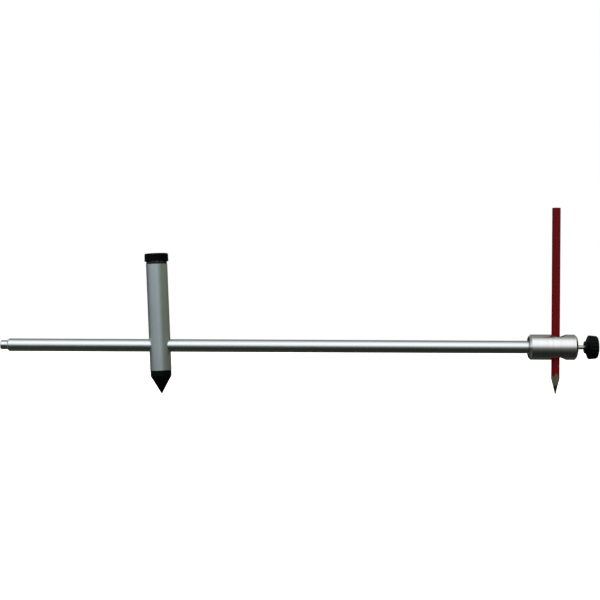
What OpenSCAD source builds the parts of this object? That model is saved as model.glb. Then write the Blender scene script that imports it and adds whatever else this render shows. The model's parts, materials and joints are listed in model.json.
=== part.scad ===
// Beam compass. A round beam carries a turned head with a pencil at one end.
// A pivot post with a conical point slides and swivels on the beam.
// The origin is the tip of the pivot point, +X runs along the beam to the pencil
// and +Z is up. All lengths are in millimetres and all angles in degrees.

/* [Beam] */
// Length of the beam tube
beam_len = 500; // [450:5:900]
// Outer diameter of the beam tube
beam_d = 12; // [11:0.1:12.4]
// Wall of the beam tube
beam_wall = 1.5; // [1:0.1:2]
// Flat ring left at the bevelled end of the tube
beam_land = 0.15; // [0.05:0.05:0.5]
// Length of tube on the free side of the post
beam_free = 143; // [60:1:250]

/* [Joining spigots] */
// Diameter of the spigot that stands out of the tube
spigot_d = 8.6; // [7:0.1:9]
// Length of the spigot that stands out of the tube
spigot_reach = 6.6; // [5:0.1:8]
// Length of the spigot's shank inside the tube
spigot_shank_len = 20; // [12:1:40]
// Bevel on the spigot's edge
spigot_bevel = 0.6; // [0.2:0.1:1.2]

/* [Pencil head] */
// Diameter of the head
head_d = 24; // [22:0.5:30]
// Length of the head
head_len = 45; // [43:0.5:55]
// Bevel round both ends of the head
head_bevel = 1.9; // [0.5:0.1:3]
// Depth of the beam's seat in the head
head_seat_len = 10; // [8:0.5:11]
// Diameter of the upright hole for the pencil
pencil_hole_d = 14; // [12:0.5:15]
// Distance from the head's beam side to the middle of the pencil hole
pencil_hole_at = 28.3; // [27:0.1:30]
// Distance from the head's beam side to the set screw
set_screw_at = 5; // [4:0.5:6]
// Diameter of the set screw
set_screw_d = 4; // [3:0.5:5]
// Depth of the set screw's outer end under the head's surface
set_screw_sunk = 1; // [0.5:0.1:1.2]
// Width across the flats of the set screw's key socket
key_flats = 2; // [1.5:0.5:2.5]
// Depth of the key socket
key_depth = 2.5; // [1:0.5:3]

/* [Thumb screw] */
// Diameter of the screw
screw_d = 4; // [3.5:0.1:5]
// Length of screw that shows between the head and the knob
screw_out = 6.9; // [4:0.1:12]
// Length of screw held in the knob
screw_in_knob = 8; // [5:0.5:11]
// Diameter of the pip on the screw's end
pip_d = 2.4; // [1.8:0.1:3]
// Length of the pip on the screw's end
pip_len = 1.3; // [0.8:0.1:1.5]
// Diameter of the pressure foot
foot_d = 6; // [5:0.5:7]
// Thickness of the pressure foot
foot_len = 3.2; // [3:0.1:3.6]
// Depth of the foot's V that holds an edge of the pencil
foot_grip = 0.9; // [0.5:0.1:1.1]

/* [Thumb knob] */
// Diameter of the knob's hub
hub_d = 11.5; // [8:0.5:13]
// Length of the knob's hub
hub_len = 2.4; // [1.5:0.1:5]
// Width of the step where the hub meets the grip
hub_step = 0.9; // [0.3:0.1:1.5]
// Largest diameter of the grip
grip_d = 22.7; // [19:0.1:28]
// Loss of diameter towards the grip's outer end
grip_taper = 1.4; // [0:0.1:3]
// Length of the conical underside of the grip
flare_len = 1.8; // [1:0.1:3]
// Bevel between the underside and the rim
flare_bevel = 0.6; // [0.2:0.1:1]
// Length of the grip from its underside to the dome's edge
grip_len = 10.5; // [8:0.1:14]
// Radius round the grip's outer edge
grip_round = 1.8; // [0.5:0.1:2.5]
// Rise of the domed end
dome_rise = 1.2; // [0.4:0.1:2]
// Number of flutes round the grip
flute_count = 18; // [8:1:24]
// Depth of a flute
flute_depth = 0.45; // [0.2:0.05:0.8]
// Diameter of the cutter that makes a flute
flute_d = 2.4; // [1.5:0.1:3]

/* [Pencil] */
// Width across the flats of the pencil
pencil_flats = 7; // [6.4:0.1:7.6]
// Length of the pencil
pencil_len = 175.6; // [140:0.1:190]
// Depth of the pencil's point under the beam's axis
pencil_below = 44.4; // [36:0.1:60]
// Full angle of the sharpened point
point_angle = 28.4; // [24:0.1:40]
// Diameter of the blunted tip of the lead
point_d = 0.4; // [0.2:0.1:1]
// Diameter of the lead
lead_d = 4.2; // [2:0.1:4.6]

/* [Post] */
// Outer diameter of the post tube
post_d = 20; // [19.6:0.1:24]
// Wall of the post tube
post_wall = 2; // [1:0.1:2.1]
// Length of the post tube
post_len = 100; // [85:1:160]
// Length of post tube under the beam's axis
post_below = 23.5; // [23:0.5:40]
// Lean of the post from square to the beam
post_lean = 2.6; // [0:0.1:4]

/* [Pivot point] */
// Diameter of the point's rim
rim_d = 19.6; // [17:0.1:22]
// Height of the point's rim
rim_len = 5.1; // [2:0.1:8]
// Height of the point's cone
cone_len = 16.9; // [10:0.1:30]
// Diameter of the blunted tip
tip_d = 0.3; // [0.2:0.1:1]
// Length of the point's shank inside the post tube
point_shank_len = 10; // [6:0.5:12]

/* [Post clamp] */
// Diameter of the plug's collar
collar_d = 19.5; // [18:0.1:22]
// Gap seen between the tube and the clamp knob
neck_len = 2.7; // [1.5:0.1:5]
// Length of the plug inside the post tube
plug_len = 12; // [8:0.5:20]
// Diameter of the clamp knob at its lower edge
cap_d = 22.4; // [20:0.1:28]
// Loss of diameter towards the clamp knob's top
cap_taper = 0.4; // [0:0.1:1]
// Height of the clamp knob
cap_len = 7.8; // [7.4:0.1:12]
// Radius round the clamp knob's top edge
cap_round = 1; // [0.5:0.1:2]
// Number of grooves round the clamp knob
groove_count = 36; // [20:1:40]
// Depth of a groove
groove_depth = 0.3; // [0.1:0.05:0.5]
// Diameter of the cutter that makes a groove
groove_d = 1.2; // [0.8:0.1:1.4]
// Diameter of the thrust washer
washer_d = 15; // [12:0.5:17]
// Thickness of the thrust washer
washer_t = 0.8; // [0.5:0.1:1.2]
// Diameter of the knob's threaded insert
insert_d = 10; // [8.5:0.1:11]
// Length of the knob's threaded insert
insert_len = 6; // [5:0.1:6.2]
// Diameter of the draw rod
rod_d = 6; // [5:0.1:6.4]
// Length of rod inside the insert
rod_in_insert = 5.2; // [3:0.1:5.4]
// Height of the eye block above the beam's axis
eye_above = 13; // [12:0.5:20]
// Depth of the eye block under the beam's axis
eye_below = 9.5; // [9:0.1:10]
// Length of rod inside the eye block
rod_in_eye = 5; // [3:0.1:5.2]
// Width across the flats of the lock nut
nut_flats = 10; // [9:0.5:12]
// Thickness of the lock nut
nut_len = 3.2; // [2:0.1:6]
// Wall of the liner between the beam and the post
liner_wall = 0.4; // [0.3:0.05:0.45]
// Length that the liner stops short of the post's face on each side
liner_short = 2.3; // [2:0.1:4]

/* [Fits] */
// Gap round a piece that is pushed home
push_gap = 0.02; // [0.01:0.01:0.03]
// Gap round a piece that turns or slides
run_gap = 0.05; // [0.03:0.01:0.08]
// Gap round the draw rod in its plug, and round the eye block in its tube
guide_gap = 0.2; // [0.1:0.05:0.25]
// Height of the slit that shows under the clamp knob
knob_slit = 0.3; // [0.2:0.05:0.4]
// Travel of the eye block between clamped and free
eye_travel = 0.4; // [0.2:0.05:0.5]
// Space left past the end of a piece in a blind hole
end_gap = 0.6; // [0.2:0.1:0.8]

/* [Hidden] */

// Smoothness of round shapes
$fn = 96;
// Overrun that lets a cutter pass right through a face
cut = 1;
// Steps in a rounded edge
round_steps = 6;
// Small bevel at the ends of screws and on inner edges
screw_bevel = 0.4;

// The post's axis crosses the beam's axis here, measured from the pivot point's tip
tip_below = post_below + rim_len + cone_len;
cross_x = -tip_below * sin(post_lean);
cross_z = tip_below * cos(post_lean);

// Radii of the beam and of what surrounds it, from the inside out
beam_r = beam_d / 2;
beam_bore_r = beam_r - beam_wall;
liner_bore_r = beam_r + run_gap;
liner_r = liner_bore_r + liner_wall;
cross_bore_r = liner_r + run_gap;
eye_bore_r = cross_bore_r + eye_travel / 2;

// Places along the beam, measured from the crossing
beam_start = -beam_free;
beam_end = beam_len - beam_free;
head_start = beam_end - head_seat_len;
head_end = head_start + head_len;
pencil_hole_x = head_start + pencil_hole_at;
pencil_r = pencil_flats / sqrt(3);
pencil_x = pencil_hole_x - pencil_hole_d / 2 + pencil_r + run_gap;
foot_start = pencil_x + pencil_r + run_gap - foot_grip;
foot_end = foot_start + foot_len;
screw_start = foot_end + run_gap;
knob_start = head_end + screw_out;

// The set screw reaches from the beam to just under the head's surface
set_screw_len = head_d / 2 - set_screw_sunk - beam_r - push_gap;

// Sizes of the thumb knob, measured from its hub's face
rim_r = grip_d / 2;
rim_start = hub_len + flare_len + flare_bevel;
knob_edge = hub_len + grip_len;

// Heights along the post, measured from the crossing
post_bottom = -post_below;
post_top = post_len - post_below;
collar_top = post_top + neck_len - knob_slit;
cap_bottom = post_top + neck_len;
post_bore_r = post_d / 2 - post_wall;
rod_hole_r = rod_d / 2 + guide_gap;
// The washer stands out of the knob by the slit less its running gap
washer_recess = washer_t + run_gap - knob_slit;
insert_bottom = cap_bottom + washer_recess;
rod_top = insert_bottom + rod_in_insert;
rod_bottom = eye_above - rod_in_eye;

// Half the point's angle, and the height at which its cone would reach a radius
point_half = point_angle / 2;
function point_height(r) = (r - point_d / 2) / tan(point_half);

// Points of a quarter round that starts on the side and ends on the top
function quarter_round(side, top, r) = [
    for (i = [0 : round_steps])
        let (a = 90 * i / round_steps)
            [side - r + r * cos(a), top - r + r * sin(a)]
];

// Places its children along the beam's axis, which becomes their +Z
module along_beam(x) {
    translate([cross_x + x, 0, cross_z])
        rotate([0, 90, 0])
            children();
}

// Places its children along the post's axis, which becomes their +Z
module up_post(height) {
    translate([cross_x, 0, cross_z])
        rotate([0, -post_lean, 0])
            translate([0, 0, height])
                children();
}

// Places its children upright at the pencil's point
module at_pencil() {
    translate([cross_x + pencil_x, 0, cross_z - pencil_below])
        children();
}

// Solid round bar with a bevel at its far end, and at its near end if asked
module bevelled_bar(r, length, bevel, near_bevel = 0) {
    rotate_extrude()
        polygon([
            [0, 0], [r - near_bevel, 0], [r, near_bevel],
            [r, length - bevel], [r - bevel, length], [0, length]
        ]);
}

// Turned plug whose shank fills the tube's end; it stands along +Z from the tube's end
module spigot_plug() {
    rotate_extrude()
        polygon([
            [0, -spigot_shank_len],
            [beam_bore_r - push_gap - spigot_bevel, -spigot_shank_len],
            [beam_bore_r - push_gap, spigot_bevel - spigot_shank_len],
            [beam_bore_r - push_gap, 0],
            [spigot_d / 2, 0],
            [spigot_d / 2, spigot_reach - spigot_bevel],
            [spigot_d / 2 - spigot_bevel, spigot_reach],
            [0, spigot_reach]
        ]);
}

// Round beam, bevelled at both ends
module beam_tube() {
    bevel = beam_wall - beam_land;
    color("#C3C9CA")
        along_beam(beam_start)
            rotate_extrude()
                polygon([
                    [beam_bore_r, 0],
                    [beam_r - bevel, 0],
                    [beam_r, bevel],
                    [beam_r, beam_len - bevel],
                    [beam_r - bevel, beam_len],
                    [beam_bore_r, beam_len]
                ]);
}

// Plug at the beam's free end, for joining on a second beam
module joining_spigot() {
    color("#D5D9DA")
        along_beam(beam_start)
            rotate([180, 0, 0])
                spigot_plug();
}

// The same plug at the head's end
module head_spigot() {
    color("#D5D9DA")
        along_beam(beam_end)
            spigot_plug();
}

// Turned head: beam seat, spigot hole, pencil hole, screw hole and set screw hole
module pencil_head() {
    seat_bottom = head_seat_len;
    color("#B8BCBB")
        along_beam(head_start)
            difference() {
                bevelled_bar(head_d / 2, head_len, head_bevel, head_bevel);
                translate([0, 0, -cut])
                    cylinder(r = beam_r + push_gap, h = seat_bottom + cut);
                cylinder(r = spigot_d / 2 + run_gap, h = seat_bottom + spigot_reach + end_gap);
                translate([-head_d / 2 - cut, 0, pencil_hole_at])
                    rotate([0, 90, 0])
                        cylinder(d = pencil_hole_d, h = head_d + 2 * cut);
                translate([0, 0, pencil_hole_at])
                    cylinder(r = screw_d / 2 + run_gap, h = head_len - pencil_hole_at + cut);
                translate([0, 0, set_screw_at])
                    rotate([-90, 0, 0])
                        cylinder(r = set_screw_d / 2 + push_gap, h = head_d / 2 + cut);
            }
}

// Headless screw in the back of the head; its inner end bites on the beam
module set_screw() {
    color("#4A4C4E")
        along_beam(head_start + set_screw_at)
            rotate([-90, 0, 0])
                translate([0, 0, beam_r + push_gap])
                    difference() {
                        bevelled_bar(set_screw_d / 2, set_screw_len, screw_bevel, screw_bevel);
                        translate([0, 0, set_screw_len - key_depth])
                            cylinder(d = key_flats * 2 / sqrt(3), h = key_depth + cut, $fn = 6);
                    }
}

// Brass foot between the screw and the pencil; its V seats on the pencil's edge
module pressure_foot() {
    color("#C9A24A")
        difference() {
            along_beam(foot_start)
                difference() {
                    cylinder(d = foot_d, h = foot_len);
                    translate([0, 0, foot_len - pip_len - run_gap])
                        cylinder(r = pip_d / 2 + run_gap, h = pip_len + run_gap + cut);
                }
            translate([cross_x + pencil_x, 0, cross_z - foot_d])
                cylinder(r = pencil_r + run_gap, h = 2 * foot_d, $fn = 6);
        }
}

// Screw with a pip at its inner end; its outer end is held in the knob
module thumb_screw() {
    color("#C8CCCE")
        along_beam(screw_start)
            union() {
                bevelled_bar(screw_d / 2, knob_start + screw_in_knob - screw_start,
                    screw_bevel, screw_bevel);
                translate([0, 0, -pip_len])
                    cylinder(d = pip_d, h = pip_len + screw_bevel);
            }
}

// Outline of the thumb knob, from the hub's face to the domed end
module thumb_knob_outline() {
    end_r = rim_r - grip_taper / 2;
    dome_r = end_r - grip_round;
    polygon(concat(
        [
            [0, 0],
            [hub_d / 2, 0],
            [hub_d / 2, hub_len],
            [hub_d / 2 + hub_step, hub_len],
            [rim_r - flare_bevel, rim_start - flare_bevel],
            [rim_r, rim_start]
        ],
        quarter_round(end_r, knob_edge, grip_round),
        [
            for (i = [1 : round_steps])
                let (share = 1 - i / round_steps)
                    [dome_r * share, knob_edge + dome_rise * (1 - share * share)]
        ]
    ));
}

// One flute's cutter, tilted with the taper of the rim so that its depth stays even
module flute_cutter() {
    tilt = atan2(grip_taper / 2, knob_edge - grip_round - rim_start);
    translate([rim_r + flute_d / 2 - flute_depth, 0, rim_start])
        rotate([0, -tilt, 0])
            translate([0, 0, hub_len - rim_start])
                cylinder(d = flute_d, h = grip_len + dome_rise + cut, $fn = 24);
}

// Fluted knob moulded on the screw's outer end
module thumb_knob() {
    color("#17191A")
        along_beam(knob_start)
            difference() {
                rotate_extrude()
                    thumb_knob_outline();
                translate([0, 0, -cut])
                    cylinder(r = screw_d / 2 + push_gap, h = screw_in_knob + push_gap + cut);
                for (i = [0 : flute_count - 1])
                    rotate([0, 0, 360 * (i + 1 / 2) / flute_count])
                        flute_cutter();
            }
}

// Sharpened outline of the pencil, turned about its own axis
module point_cone(r) {
    rotate_extrude()
        polygon([
            [0, 0], [point_d / 2, 0], [r, point_height(r)], [r, pencil_len], [0, pencil_len]
        ]);
}

// Six-sided casing; the sharpening cone scallops its flats
module pencil_casing() {
    color("#7A1018")
        at_pencil()
            difference() {
                intersection() {
                    cylinder(r = pencil_r, h = pencil_len, $fn = 6);
                    point_cone(pencil_r + cut);
                }
                translate([0, 0, -cut])
                    cylinder(r = lead_d / 2 + push_gap, h = pencil_len + 2 * cut);
            }
}

// Lead with its sharpened tip
module pencil_lead() {
    color("#2B2B2D")
        at_pencil()
            point_cone(lead_d / 2);
}

// Post tube, bored for the beam along the beam's own direction
module post_tube() {
    color("#909A9D")
        difference() {
            up_post(post_bottom)
                difference() {
                    cylinder(d = post_d, h = post_len);
                    translate([0, 0, -cut])
                        cylinder(r = post_bore_r, h = post_len + 2 * cut);
                }
            along_beam(-post_d)
                cylinder(r = cross_bore_r, h = 2 * post_d);
        }
}

// Conical point with a shank pushed into the tube's lower end
module pivot_point() {
    shank_r = post_bore_r - push_gap;
    color("#1B1D1E")
        up_post(-tip_below)
            rotate_extrude()
                polygon([
                    [0, 0],
                    [tip_d / 2, 0],
                    [rim_d / 2, cone_len],
                    [rim_d / 2, cone_len + rim_len],
                    [shank_r, cone_len + rim_len],
                    [shank_r, cone_len + rim_len + point_shank_len - screw_bevel],
                    [shank_r - screw_bevel, cone_len + rim_len + point_shank_len],
                    [0, cone_len + rim_len + point_shank_len]
                ]);
}

// Plug in the tube's upper end; the knob bears on its collar through the washer
module post_plug() {
    shank_r = post_bore_r - push_gap;
    color("#3E4143")
        up_post(post_top)
            rotate_extrude()
                polygon([
                    [rod_hole_r, -plug_len],
                    [shank_r - screw_bevel, -plug_len],
                    [shank_r, screw_bevel - plug_len],
                    [shank_r, 0],
                    [collar_d / 2, 0],
                    [collar_d / 2, neck_len - knob_slit],
                    [rod_hole_r, neck_len - knob_slit]
                ]);
}

// Steel washer between the collar and the knob
module thrust_washer() {
    color("#A9ADAF")
        up_post(collar_top)
            difference() {
                cylinder(d = washer_d, h = washer_t);
                translate([0, 0, -cut])
                    cylinder(r = rod_hole_r, h = washer_t + 2 * cut);
            }
}

// Outline of the clamp knob, from its lower edge to its rounded top edge
module clamp_knob_outline() {
    low_r = cap_d / 2;
    polygon(concat(
        [[0, 0], [low_r, 0]],
        quarter_round(low_r - cap_taper / 2, cap_len, cap_round),
        [[0, cap_len]]
    ));
}

// Grooved clamp knob with its recess for the washer and its seat for the insert
module clamp_knob() {
    color("#111314")
        up_post(cap_bottom)
            difference() {
                rotate_extrude()
                    clamp_knob_outline();
                translate([0, 0, -cut])
                    cylinder(r = washer_d / 2 + guide_gap, h = washer_recess + cut);
                cylinder(r = insert_d / 2 + push_gap, h = washer_recess + insert_len + push_gap);
                for (i = [0 : groove_count - 1])
                    rotate([0, 0, 360 * i / groove_count])
                        translate([cap_d / 2 + groove_d / 2 - groove_depth, 0, -cut])
                            cylinder(d = groove_d, h = cap_len + 2 * cut, $fn = 24);
            }
}

// Brass insert in the clamp knob
module knob_insert() {
    color("#C9A24A")
        up_post(insert_bottom)
            difference() {
                cylinder(d = insert_d, h = insert_len);
                translate([0, 0, -cut])
                    cylinder(r = rod_d / 2 + run_gap, h = insert_len + 2 * cut);
            }
}

// Rod that draws the eye block up when the clamp knob is turned
module draw_rod() {
    color("#B7BBBD")
        up_post(rod_bottom)
            bevelled_bar(rod_d / 2, rod_top - rod_bottom, screw_bevel, screw_bevel);
}

// Block inside the post tube; the beam and its liner pass through its eye.
// Clamped, the eye stands half its travel above the beam's axis.
module eye_block() {
    color("#A4A8AA")
        difference() {
            up_post(-eye_below)
                difference() {
                    bevelled_bar(post_bore_r - guide_gap, eye_above + eye_below,
                        screw_bevel, screw_bevel);
                    translate([0, 0, rod_bottom + eye_below])
                        cylinder(r = rod_d / 2 + push_gap, h = rod_in_eye + cut);
                }
            translate([0, 0, eye_travel / 2])
                along_beam(-post_d)
                    cylinder(r = eye_bore_r, h = 2 * post_d);
        }
}

// Thin nut that locks the rod in the eye block
module lock_nut() {
    color("#A9ADAF")
        up_post(eye_above)
            difference() {
                cylinder(d = nut_flats * 2 / sqrt(3), h = nut_len, $fn = 6);
                translate([0, 0, -cut])
                    cylinder(r = rod_d / 2 + push_gap, h = nut_len + 2 * cut);
            }
}

// Thin liner that lets the post slide and swivel on the beam without marking it
module beam_liner() {
    half_len = post_d / 2 - liner_short;
    color("#26282A")
        along_beam(-half_len)
            difference() {
                cylinder(r = liner_r, h = 2 * half_len);
                translate([0, 0, -cut])
                    cylinder(r = liner_bore_r, h = 2 * (half_len + cut));
            }
}

beam_tube();
joining_spigot();
head_spigot();
pencil_head();
set_screw();
pressure_foot();
thumb_screw();
thumb_knob();
pencil_casing();
pencil_lead();
post_tube();
pivot_point();
post_plug();
thrust_washer();
clamp_knob();
knob_insert();
draw_rod();
eye_block();
lock_nut();
beam_liner();
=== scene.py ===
"""Beam compass on a pale floor, seen from its photograph's side.

The satin beam, the turned pencil head, the matt pivot post and the pencil are
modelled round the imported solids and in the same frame. A piece is made in
millimetres in its own place, whose +Z is the axis the piece is turned about,
and becomes metres when it is set there.
"""

import json
import logging
import math
from dataclasses import dataclass
from enum import Enum

import bmesh
import bpy
from bmesh.types import BMEdge, BMesh, BMVert
from bpy.types import Material, Node, NodeSocket, NodeTree, Object
from mathutils import Matrix, Vector

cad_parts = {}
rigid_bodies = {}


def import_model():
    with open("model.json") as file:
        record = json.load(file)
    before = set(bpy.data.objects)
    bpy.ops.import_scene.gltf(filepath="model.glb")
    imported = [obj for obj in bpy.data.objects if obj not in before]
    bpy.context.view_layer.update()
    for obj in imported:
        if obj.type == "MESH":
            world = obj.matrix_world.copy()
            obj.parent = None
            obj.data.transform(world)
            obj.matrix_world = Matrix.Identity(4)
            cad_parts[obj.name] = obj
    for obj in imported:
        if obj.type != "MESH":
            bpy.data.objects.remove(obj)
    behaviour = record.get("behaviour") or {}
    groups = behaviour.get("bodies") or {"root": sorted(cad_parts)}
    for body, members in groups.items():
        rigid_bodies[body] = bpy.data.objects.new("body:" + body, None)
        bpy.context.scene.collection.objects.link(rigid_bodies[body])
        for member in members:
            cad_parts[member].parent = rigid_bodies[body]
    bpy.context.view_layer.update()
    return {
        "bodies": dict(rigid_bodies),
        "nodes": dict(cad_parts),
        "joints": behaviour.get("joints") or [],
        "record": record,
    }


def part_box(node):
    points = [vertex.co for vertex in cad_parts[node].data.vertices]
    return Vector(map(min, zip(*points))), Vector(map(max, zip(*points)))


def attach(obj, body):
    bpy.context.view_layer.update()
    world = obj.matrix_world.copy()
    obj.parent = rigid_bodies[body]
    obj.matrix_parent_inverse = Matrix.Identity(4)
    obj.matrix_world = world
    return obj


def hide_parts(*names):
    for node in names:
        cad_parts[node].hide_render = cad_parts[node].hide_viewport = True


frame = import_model()

log = logging.getLogger("beam_compass")

MM = 0.001
FINE_ROUND = 128
SMALL_ROUND = 64
WELD = 0.00001
CREASE = math.radians(28)
QUARTER = math.radians(90)
PENCIL_LEAN = math.radians(0.14)
SPARE = 1.0
LINE_STRETCH = 90.0

Color = tuple[float, float, float]

WHITE = (1.0, 1.0, 1.0)


# Places

class Layout:
    """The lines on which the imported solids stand, as places for new pieces."""

    def __init__(self, packed: dict) -> None:
        """Reads the lines from the joints and the solids.

        Args:
            packed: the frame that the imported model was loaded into.
        """
        joints = {joint["name"]: joint for joint in packed["joints"]}
        crossing = Vector(joints["post_swivel"]["pos_m"])
        upward = Vector(joints["clamp_turn"]["axis"]).normalized()
        lean = math.atan2(-upward.x, upward.z)
        lead_low, lead_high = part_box("pencil_lead")
        lead_foot = (lead_low + lead_high) / 2
        lead_foot.z = lead_low.z
        self.packed = packed
        self.beam = self.placed(crossing, QUARTER)
        self.post = self.placed(crossing, -lean)
        self.pencil = self.placed(lead_foot, 0.0)
        self.leaning_pencil = self.placed(lead_foot, PENCIL_LEAN)

    @staticmethod
    def placed(origin: Vector, turn: float) -> Matrix:
        """Makes a place that is turned about the frame's Y axis.

        Args:
            origin: where the place's own origin stands, in metres.
            turn: the angle in radians.

        Returns:
            The matrix from the place's millimetres to the frame's metres.
        """
        return Matrix.Translation(origin) @ Matrix.Rotation(turn, 4, "Y") @ Matrix.Scale(MM, 4)

    def span(self, node: str, place: Matrix) -> tuple[float, float]:
        """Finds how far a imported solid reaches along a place's axis.

        Args:
            node: the solid's name.
            place: the place it is measured in.

        Returns:
            Its lowest and highest point along +Z, in millimetres.
        """
        inverse = place.inverted()
        heights = [(inverse @ vertex.co).z for vertex in self.packed["nodes"][node].data.vertices]
        return min(heights), max(heights)


# Shader tools

class Graph:
    """Adds and joins the nodes of one shader tree."""

    def __init__(self, tree: NodeTree) -> None:
        """Takes the tree that the nodes go into."""
        self.tree = tree

    def node(self, kind: str, *values: object, **settings: object) -> Node:
        """Adds a node.

        Args:
            kind: the node's type, without its ShaderNode prefix.
            values: plain values or sockets for its first inputs.
            settings: values of the node's own properties.

        Returns:
            The new node.
        """
        made = self.tree.nodes.new("ShaderNode" + kind)
        for name, setting in settings.items():
            setattr(made, name, setting)
        for socket, value in zip(made.inputs, values):
            self.feed(socket, value)
        return made

    def feed(self, socket: NodeSocket, value: object) -> None:
        """Joins a socket to another one, or gives it a plain value.

        Args:
            socket: the socket that takes the value.
            value: the other socket, or a plain value.
        """
        if isinstance(value, NodeSocket):
            self.tree.links.new(value, socket)
        else:
            socket.default_value = value

    def math(self, operation: str, *values: object) -> NodeSocket:
        """Works out a number with a Math node."""
        return self.node("Math", *values, operation=operation).outputs[0]

    def vector(self, operation: str, *values: object, result: str = "Vector") -> NodeSocket:
        """Works out a vector, or with the result Value a number, with a Vector Math node."""
        return self.node("VectorMath", *values, operation=operation).outputs[result]

    def spread(self, value: NodeSocket, low: float, high: float, start: float = 0.0,
               end: float = 1.0) -> NodeSocket:
        """Maps the range from start to end to one from low to high, with its ends held."""
        return self.node("MapRange", value, start, end, low, high).outputs["Result"]

    def off(self, value: NodeSocket, middle: float) -> NodeSocket:
        """Gives how far a number is from a middle value."""
        return self.math("ABSOLUTE", self.math("SUBTRACT", value, middle))

    def weighed(self, first: NodeSocket, second: NodeSocket, share: float) -> NodeSocket:
        """Adds two patterns, the first by its share and the second by the rest."""
        return self.math("ADD", self.math("MULTIPLY", first, share),
                         self.math("MULTIPLY", second, 1 - share))

    def shrunk(self, point: NodeSocket, size: object) -> NodeSocket:
        """Divides a point by one size in all three directions."""
        return self.vector("DIVIDE", point, self.node("CombineXYZ", size, size, size).outputs[0])

    def blend(self, share: object, first: object, second: object) -> NodeSocket:
        """Mixes two colours.

        Args:
            share: how much of the second there is, from 0 to 1.
            first: a colour or its socket.
            second: a colour or its socket.

        Returns:
            The mixed colour's socket.
        """
        made = self.node("Mix", data_type="RGBA")
        for place, given in ((0, share), (6, first), (7, second)):
            self.feed(made.inputs[place], given)
        return made.outputs[2]

    def noise(self, value: NodeSocket, detail: float, flat: bool = False,
              roughness: float = 0.6) -> NodeSocket:
        """Makes a cloudy pattern that fills the range from 0 to 1.

        Args:
            value: a vector, or a number where the pattern is flat.
            detail: how many finer layers it has.
            flat: True for a pattern along one number.
            roughness: how strong the finer layers are.

        Returns:
            The pattern's socket.
        """
        darkest, lightest = 0.3, 0.7
        made = self.node("TexNoise", noise_dimensions="1D" if flat else "3D")
        for name, given in (("W" if flat else "Vector", value), ("Scale", 1.0), ("Detail", detail),
                            ("Roughness", roughness)):
            self.feed(made.inputs[name], given)
        return self.spread(made.outputs[0], 0.0, 1.0, darkest, lightest)

    def local(self, place: Matrix) -> NodeSocket:
        """Gives the point in a place's own millimetres.

        Args:
            place: the place.

        Returns:
            The point's socket.
        """
        origin, turn, size = place.decompose()
        point = self.node("TexCoord").outputs["Object"]
        return self.node("Mapping", point, origin, turn.to_euler(), size,
                         vector_type="TEXTURE").outputs["Vector"]

    def effect(self, kind: "Effect", *values: object) -> Node:
        """Places one of the shared effects, with values for its inputs."""
        return self.node("Group", *values, node_tree=effect_group(kind))


class Effect(Enum):
    """The surface effects that several finishes share."""

    TURNING = "turning_marks"
    DRAWING = "drawing_lines"
    GRAIN = "surface_grain"
    HANDLING = "handling_marks"


def turning_marks(graph: Graph, given: Node) -> dict[str, NodeSocket]:
    """Rings that a lathe tool leaves round the place's axis, fine and in broad bands.

    Args:
        graph: the group's graph.
        given: the group's input node.

    Returns:
        The results' sockets by name.
    """
    face_ratio = 1.7
    band_width = 9.0
    point = given.outputs["Vector"]
    parts = graph.node("SeparateXYZ", point)
    radius = graph.vector("LENGTH", graph.vector("MULTIPLY", point, (1, 1, 0)), result="Value")
    way = graph.math("MULTIPLY_ADD", radius, face_ratio, parts.outputs["Z"])
    step = graph.math("DIVIDE", way, given.outputs["Pitch"])
    fine = graph.math("ADD", step, given.outputs["Seed"])
    broad = graph.math("DIVIDE", fine, band_width)
    return {"Rings": graph.noise(fine, 2.0, flat=True), "Bands": graph.noise(broad, 3.0, flat=True)}


def drawing_lines(graph: Graph, given: Node) -> dict[str, NodeSocket]:
    """Long faint lines that drawing leaves along the place's axis."""
    squeezed = graph.vector("MULTIPLY", given.outputs["Vector"], (1, 1, 1 / LINE_STRETCH))
    return {"Lines": graph.noise(graph.shrunk(squeezed, given.outputs["Width"]), 3.0)}


def surface_grain(graph: Graph, given: Node) -> dict[str, NodeSocket]:
    """Fine even grain, and sparse small specks.

    Args:
        graph: the group's graph.
        given: the group's input node.

    Returns:
        The results' sockets by name.
    """
    speck_share = 3.0
    rarest, densest = 0.86, 0.98
    point = graph.shrunk(given.outputs["Vector"], given.outputs["Size"])
    wide = graph.vector("DIVIDE", point, (speck_share,) * 3)
    return {"Grain": graph.noise(point, 2.0),
            "Specks": graph.spread(graph.noise(wide, 1.0), 0.0, 1.0, rarest, densest)}


def handling_marks(graph: Graph, given: Node) -> dict[str, NodeSocket]:
    """Broad soft patches where fingers have dulled or polished a surface."""
    point = graph.shrunk(given.outputs["Vector"], given.outputs["Size"])
    return {"Patches": graph.noise(point, 4.0, roughness=0.55)}


def effect_group(kind: Effect) -> NodeTree:
    """Finds an effect's node group, or builds it the first time.

    Args:
        kind: the effect.

    Returns:
        The node group.
    """
    found = bpy.data.node_groups.get(kind.value)
    if found:
        return found
    numbers, build = {
        Effect.TURNING: (("Pitch", "Seed"), turning_marks),
        Effect.DRAWING: (("Width",), drawing_lines),
        Effect.GRAIN: (("Size",), surface_grain),
        Effect.HANDLING: (("Size",), handling_marks),
    }[kind]
    tree = bpy.data.node_groups.new(kind.value, "ShaderNodeTree")
    tree.interface.new_socket("Vector", in_out="INPUT", socket_type="NodeSocketVector")
    for name in numbers:
        tree.interface.new_socket(name, in_out="INPUT", socket_type="NodeSocketFloat")
    graph = Graph(tree)
    made = build(graph, tree.nodes.new("NodeGroupInput"))
    for name in made:
        tree.interface.new_socket(name, in_out="OUTPUT", socket_type="NodeSocketFloat")
    result = tree.nodes.new("NodeGroupOutput")
    for name, socket in made.items():
        graph.feed(result.inputs[name], socket)
    return tree


# Finishes

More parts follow.
